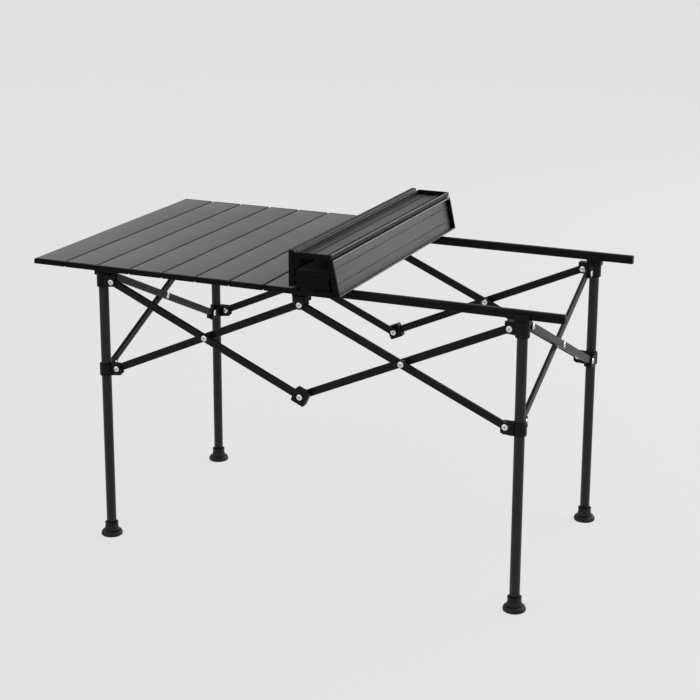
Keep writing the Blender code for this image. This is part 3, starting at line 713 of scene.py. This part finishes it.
def footProfile(s):
    top, e, lead = s["top"], s["rimRound"], s["lead"]
    under, mid, z, out, r = top - s["rim"], s["collar"] - e, s["crease"], s["skirt"], s["radius"]
    rim = arcPoints(mid, top - e, e, 90, 0) + arcPoints(mid, under + e, e, 0, -60, 3)
    wider, height = s["neckFoot"]
    neck = [(s["neck"] + x, under + y) for x, y in s["neckStart"]]
    neck.append((s["neck"] + wider, height))
    fold = [(out + x, z + y) for x, y in s["fold"]]
    brim = [(x, z + y) for x, y in s["brim"]]
    sole = [(r + x, y) for x, y in s["sole"]]
    arch = [(s["arch"] + lead, 0.0), (s["arch"], lead), (s["arch"], s["archHeight"]),
            (0.0, s["archHeight"])]
    socket = [(0.0, s["socketFloor"]), (s["socket"], s["socketFloor"]),
              (s["socket"], top - lead), (s["socket"] + lead, top)]
    return socket + rim + neck + fold + brim + sole + arch


def shadeRingProfile(s):
    bore, r, e, high = s["bore"], s["radius"], s["round"], s["high"]
    outer = arcPoints(r - e, high - e, e, 90, 0, 2)
    return [(bore, high), *outer, (r, s["low"]), (bore, s["low"]), (bore, high)]


tube, footForm, shadeRing = tubeProfile(legSet), footProfile(footSet), shadeRingProfile(shadeRingSet)
for corner, (sx, sy) in corners.items():
    x, y = sx * frameSet["legX"] + frameSet["middle"], sy * frameSet["legY"]
    leg, foot, slider = corner + "_leg", corner + "_foot", corner + "_slider"
    put(leg + "_tube", turnedMesh(leg, tube, (x, y, 0), finishes["legs"]), bodyOf(leg),
        [leg])
    put(foot + "_moulded", turnedMesh(foot, footForm, (x, y, 0), finishes["feet"]), bodyOf(foot),
        [foot])
    # A black ring on the collar's top: painted shade for the gap between collar and leg.
    put(corner + "_painted_shade_ring", turnedMesh(corner, shadeRing, (x, y, frameSet["lower"]), capNylon),
        bodyOf(slider))
print("legs and feet turned")

# Hubs, collars and middle brackets, in mm about a leg's axis (a bracket's: its pivot) and the
# pivots' height. A bar's end runs between the two plates of a lug, with a web along its free edge.
fittingSet = {
    "sleeve": 11.5,
    "edge": 0.8,
    "longReach": 21.0,
    "shortReach": 27.5,
    "lugRoot": 0.6,  # a lug starts at this share of the sleeve's radius
    "lugPast": 7.5,
    "lugCorner": 3.0,
    "lugSlope": 2.0,
    "plate": 2.5,  # half the lug's own plate
    "cheekFrom": 2.0,
    "cheekIn": 9.1,
    "cheekOut": 11.3,
    "web": 7.3,
    "overlap": 0.2,  # how far a web runs into the plates
    "past": 1.0,  # how far a bore's cutter runs past the end
    "hubBelow": 11.5,
    "hubTop": 14.85,
    "hubSocket": 12.0,  # the socket's upper end
    "hubLug": (-7.5, 12.0),
    "saddleFloor": 17.7,
    "saddleTop": 26.7,
    "saddleBlock": 8.0,
    "saddleInner": 5.8,
    "saddleOuter": 8.4,
    "saddleLip": 0.9,
    "saddleHalf": 12.6,
    "collarTop": 8.5,
    "collarLow": -13.5,
    "collarBore": 8.85,
    "socket": 8.65,
    "collarLug": (-12.5, 8.0),
    "bracketHalf": 14.0,
    "bracketBlock": 4.8,
    "bracketShoulder": 3.2,  # the plates end this far below the saddle's floor
    "bracketPlate": 12.0,
    "bracketStep": 4.5,  # the plates' corners end this far over the pivot
    "bracketRadius": 8.0,
    "bracketTurn": 26,  # the round end starts this many degrees over level
    "bracketCorner": 1.0,
    "bracketWeb": (1.5, 1.2),  # the web's sides from the plates', at its bottom and top
    "softRound": 0.45 * mm,
    "softAngle": 35,
}


def prism(name, outline, low, high, axis):
    # A flat outline drawn out along an axis: (y, z) for X and (x, z) for Y.
    shape = bmesh.new()
    laid = {"X": lambda u, v, w: (w, u, v), "Y": lambda u, v, w: (u, w, v)}[axis]
    ends = [[shape.verts.new(laid(u, v, w)) for u, v in outline] for w in (low, high)]
    for ring in ends:
        shape.faces.new(ring)
    for i in range(len(outline)):
        shape.faces.new((ends[0][i - 1], ends[0][i], ends[1][i], ends[1][i - 1]))
    bmesh.ops.recalc_face_normals(shape, faces=shape.faces)
    return link(name, finished(name, shape))


def lathed(name, profile):
    mesh = turnedMesh(name, profile, (0, 0, 0), finishes["joint_fittings"])
    mesh.transform(Matrix.Scale(1 / mm, 4))
    return link(name, mesh)


def moulded(base, adds, cuts=()):
    # Solids joined to the base and cut from it, as one plain mesh.
    for operation, tools in (("UNION", adds), ("DIFFERENCE", cuts)):
        for tool in tools:
            step = base.modifiers.new(operation, "BOOLEAN")
            step.operation = operation
            step.object = tool
    mesh = plainMesh(base)
    for used in (base, *adds, *cuts):
        bpy.data.objects.remove(used)
    mesh.materials.clear()
    mesh.materials.append(finishes["joint_fittings"])
    return mesh


def lugParts(s, reach, axis, side, low, high, covered=True):
    # The lug's plate and, where it is covered, an outer one with the bar's end between them and
    # a web.
    far, start = reach + s["lugPast"], s["sleeve"] * s["lugRoot"]
    c, slope, over = s["lugCorner"], s["lugSlope"], s["overlap"]
    if high > -low:  # a hub's lug drops to its sleeve, and a collar's lug rises from it
        outline = [(start, low - slope), *arcPoints(far - c, low + c, c, -90, 0, 5), (far, high),
                   (start, high)]
    else:
        outline = [(start, low), (s["sleeve"] + 1, low),
                   *arcPoints(far - c, low + c + slope, c, -90, 0, 5),
                   *arcPoints(far - c, high - c, c, 0, 90, 5), (start, high)]
    plate = prism("plate", outline, -s["plate"], s["plate"], axis)
    if not covered:
        return [plate]
    inner, outer = sorted((side * s["cheekIn"], side * s["cheekOut"]))
    cheek = prism("cheek", [(max(u, s["cheekFrom"]), v) for u, v in outline], inner, outer, axis)
    bottom, top = (s["web"], high) if high > -low else (low, -s["web"])
    inner, outer = sorted((side * (s["plate"] - over), side * (s["cheekIn"] + over)))
    outline = [(start, bottom), (far - c, bottom), (far - c, top), (start, top)]
    return [plate, cheek, prism("web", outline, inner, outer, axis)]


def saddlePart(s, half, low):
    # The open channel that a rail lies in, with a block under it.
    i, o, lip, top = s["saddleInner"], s["saddleOuter"], s["saddleLip"], s["saddleTop"]
    right = [(o, low), (o, top - lip), (o - lip, top), (i, top), (i, s["saddleFloor"])]
    return prism("saddle", right + [(-y, z) for y, z in right[::-1]], -half, half, "X")


def hubMesh(s, longSide, shortSide):
    r, e, low, top, bore = s["sleeve"], s["edge"], -s["hubBelow"], s["hubTop"], s["socket"]
    body = lathed("hub", [(0, top), (r, top), (r, low + e), (r - e, low), (0, low)])
    adds = [saddlePart(s, s["saddleHalf"], s["saddleFloor"] - s["saddleBlock"])]
    adds += lugParts(s, s["longReach"], "Y", longSide, *s["hubLug"])
    adds += lugParts(s, s["shortReach"], "X", shortSide, *s["hubLug"], covered=False)
    bottom = low - s["past"]
    hole = [(0, s["hubSocket"]), (bore, s["hubSocket"]), (bore, bottom), (0, bottom)]
    return moulded(body, adds, [lathed("socket", hole)])


def collarMesh(s, longSide, shortSide):
    r, e, top, low, bore = s["sleeve"], s["edge"], s["collarTop"], s["collarLow"], s["collarBore"]
    body = lathed("collar", [
        (0, top), (r - e, top), (r, top - e), (r, low + e), (r - e, low), (0, low)])
    adds = lugParts(s, s["longReach"], "Y", longSide, *s["collarLug"])
    adds += lugParts(s, s["shortReach"], "X", shortSide, *s["collarLug"])
    start, bottom = top + s["past"], low - s["past"]
    hole = [(0, start), (bore, start), (bore, bottom), (0, bottom)]
    return moulded(body, adds, [lathed("bore", hole)])


def bracketMesh(s):
    shoulder, turn, over = s["saddleFloor"] - s["bracketShoulder"], s["bracketTurn"], s["overlap"]
    wide, step, c = s["bracketPlate"], s["bracketStep"], s["bracketCorner"]
    body = saddlePart(s, s["bracketHalf"], s["saddleFloor"] - s["bracketBlock"])
    right = [(wide - c, step), (wide, step + c), (wide, shoulder)]
    outline = arcPoints(0, 0, s["bracketRadius"], 180 - turn, 360 + turn, 16)
    outline += right + [(-x, z) for x, z in right[::-1]]
    adds = [prism("plate", outline, -s["plate"], s["plate"], "Y")]
    for ends in ((-s["cheekOut"], -s["cheekIn"]), (s["cheekIn"], s["cheekOut"])):
        adds.append(prism("cheek", outline, *ends, "Y"))
    low, high = [wide - inset for inset in s["bracketWeb"]]
    web = [(-low, s["web"]), (low, s["web"]), (high, shoulder - c), (-high, shoulder - c)]
    adds.append(prism("web", web, -s["cheekIn"] - over, s["cheekIn"] + over, "Y"))
    return moulded(body, adds)


def putFitting(nodeName, mesh):
    made = put(nodeName + "_moulded", mesh, bodyOf(nodeName), [nodeName])
    ease(made, fittingSet["softRound"], fittingSet["softAngle"], 3)


halfTurn, flip = Matrix.Rotation(math.pi, 4, "Z"), Matrix.Scale(-1, 4, (1, 0, 0))
toMetres = Matrix.Scale(mm, 4)
hubs = {False: hubMesh(fittingSet, -1, 1), True: hubMesh(fittingSet, 1, -1)}
collars = {False: collarMesh(fittingSet, 1, -1), True: collarMesh(fittingSet, -1, 1)}
for corner, (sx, sy) in corners.items():
    x, y, mirrored = sx * frameSet["legX"] + frameSet["middle"], sy * frameSet["legY"], sx != sy
    way = (halfTurn if sy > 0 else Matrix()) @ (flip if mirrored else Matrix())
    for kind, meshes, z in (
            ("hub", hubs, frameSet["upper"]), ("slider", collars, frameSet["lower"])):
        mesh = meshes[mirrored].copy()
        mesh.transform(Matrix.Translation((x, y, z)) @ way @ toMetres)
        if mirrored:
            mesh.flip_normals()
        putFitting(f"{corner}_{kind}", mesh)
for side, sy in longSides.items():
    mesh = bracketMesh(fittingSet)
    place = (frameSet["middle"], sy * frameSet["legY"], frameSet["upper"])
    mesh.transform(Matrix.Translation(place) @ toMetres)
    putFitting(side + "_middle_bracket", mesh)
print("hubs, collars and brackets moulded")


def rivetTree(s):
    tree, given = geometryTree("rivetHeads", {
        "Radius": "Float", "Height": "Float", "Eye": "Float", "Eye Depth": "Float",
        "Head": "Material", "Eye Shade": "Material"})
    # A flat grid of 1 by 1, bent into the dome: its X goes round the head, and its Y from the edge
    # up to the crown.
    grid = addNode(tree, "GeometryNodeMeshGrid", {
        "Size X": 1.0, "Size Y": 1.0, "Vertices X": s["columns"], "Vertices Y": s["rows"]})
    position = addNode(tree, "GeometryNodeInputPosition")
    place = addNode(tree, "ShaderNodeSeparateXYZ", {0: position}).outputs
    lap = addNode(tree, "ShaderNodeMath", {0: place["X"], 1: 0.5}, operation="ADD")
    turn = addNode(tree, "ShaderNodeMath", {0: lap, 1: 2 * math.pi}, operation="MULTIPLY")
    down = addNode(tree, "ShaderNodeMath", {0: 0.5, 1: place["Y"]}, operation="SUBTRACT")
    fall = addNode(tree, "ShaderNodeMath", {0: down, 1: math.pi / 2}, operation="MULTIPLY")
    sine = addNode(tree, "ShaderNodeMath", {0: fall}, operation="SINE")
    cosine = addNode(tree, "ShaderNodeMath", {0: fall}, operation="COSINE")
    radius = addNode(tree, "ShaderNodeMath", {0: sine, 1: given["Radius"]}, operation="MULTIPLY")
    dome = addNode(tree, "ShaderNodeMath", {0: cosine, 1: given["Height"]}, operation="MULTIPLY")
    eyeFloor = addNode(tree, "ShaderNodeMath", {0: given["Eye"], 1: s["eyeFloor"]},
                       operation="MULTIPLY")
    deep = addNode(tree, "ShaderNodeMath", {0: given["Eye Depth"], 1: -1.0}, operation="MULTIPLY")
    dip = addNode(tree, "ShaderNodeMapRange", {
        "Value": radius, "From Min": eyeFloor, "From Max": given["Eye"], "To Min": deep,
        "To Max": 0.0}, interpolation_type="SMOOTHSTEP")
    x, y = [addNode(tree, "ShaderNodeMath", {
        0: addNode(tree, "ShaderNodeMath", {0: turn}, operation=wave), 1: radius},
        operation="MULTIPLY") for wave in ("COSINE", "SINE")]
    z = addNode(tree, "ShaderNodeMath", {0: dome, 1: dip}, operation="ADD")
    at = addNode(tree, "ShaderNodeCombineXYZ", {"X": x, "Y": y, "Z": z})
    bent = addNode(tree, "GeometryNodeSetPosition", {"Geometry": grid, "Position": at})
    closed = addNode(tree, "GeometryNodeMergeByDistance", {"Geometry": bent, "Distance": s["weld"]})

    flat = addNode(tree, "ShaderNodeVectorMath", {0: position, 1: (1, 1, 0)}, operation="MULTIPLY")
    fromAxis = addNode(tree, "ShaderNodeVectorMath", {0: flat}, operation="LENGTH")
    eyeEdge = addNode(tree, "ShaderNodeMath", {0: given["Eye"], 1: s["eyeShadeShare"]},
                      operation="MULTIPLY")
    inEye = addNode(tree, "FunctionNodeCompare", {0: fromAxis.outputs["Value"], 1: eyeEdge},
                    data_type="FLOAT", operation="LESS_THAN")
    head = addNode(tree, "GeometryNodeStoreNamedAttribute", {
        "Geometry": closed, "Name": "eye", "Value": inEye}, data_type="BOOLEAN", domain="FACE")

    facing = addNode(tree, "GeometryNodeInputNamedAttribute", {"Name": "facing"},
                     data_type="FLOAT_VECTOR")
    turned = addNode(tree, "FunctionNodeAlignRotationToVector", {"Vector": facing}, axis="Z")
    spread = addNode(tree, "GeometryNodeInstanceOnPoints", {
        "Points": given["Geometry"], "Instance": head, "Rotation": turned})
    shape = addNode(tree, "GeometryNodeRealizeInstances", {"Geometry": spread})
    shape = addNode(tree, "GeometryNodeSetMaterial", {
        "Geometry": shape, "Material": given["Head"]})
    # The eye's faces take the greyer steel: painted shade in the hollow.
    eye = addNode(tree, "GeometryNodeInputNamedAttribute", {"Name": "eye"}, data_type="BOOLEAN")
    shape = addNode(tree, "GeometryNodeSetMaterial", {
        "Geometry": shape, "Selection": eye, "Material": given["Eye Shade"]})
    addNode(tree, "NodeGroupOutput", {"Geometry": shape})
    return tree


heads = rivetTree(rivetSet)
for body, places in seatsOn.items():
    points = bpy.data.meshes.new(body + "_seats")
    points.from_pydata([at for at, facing in places], [], [])
    facings = points.attributes.new("facing", "FLOAT_VECTOR", "POINT")
    facings.data.foreach_set("vector", [c for at, facing in places for c in facing])
    mesh = grown(body + "_rivets", heads, points, {
        "Radius": rivetSet["radius"], "Height": rivetSet["height"], "Eye": rivetSet["eye"],
        "Eye Depth": rivetSet["eyeDepth"], "Head": finishes["rivets"],
        "Eye Shade": eyePaintedShade})
    put(body + "_rivet_heads", mesh, body, angle=rivetSet["smooth"])
print("rivet heads set")

bpy.context.view_layer.update()
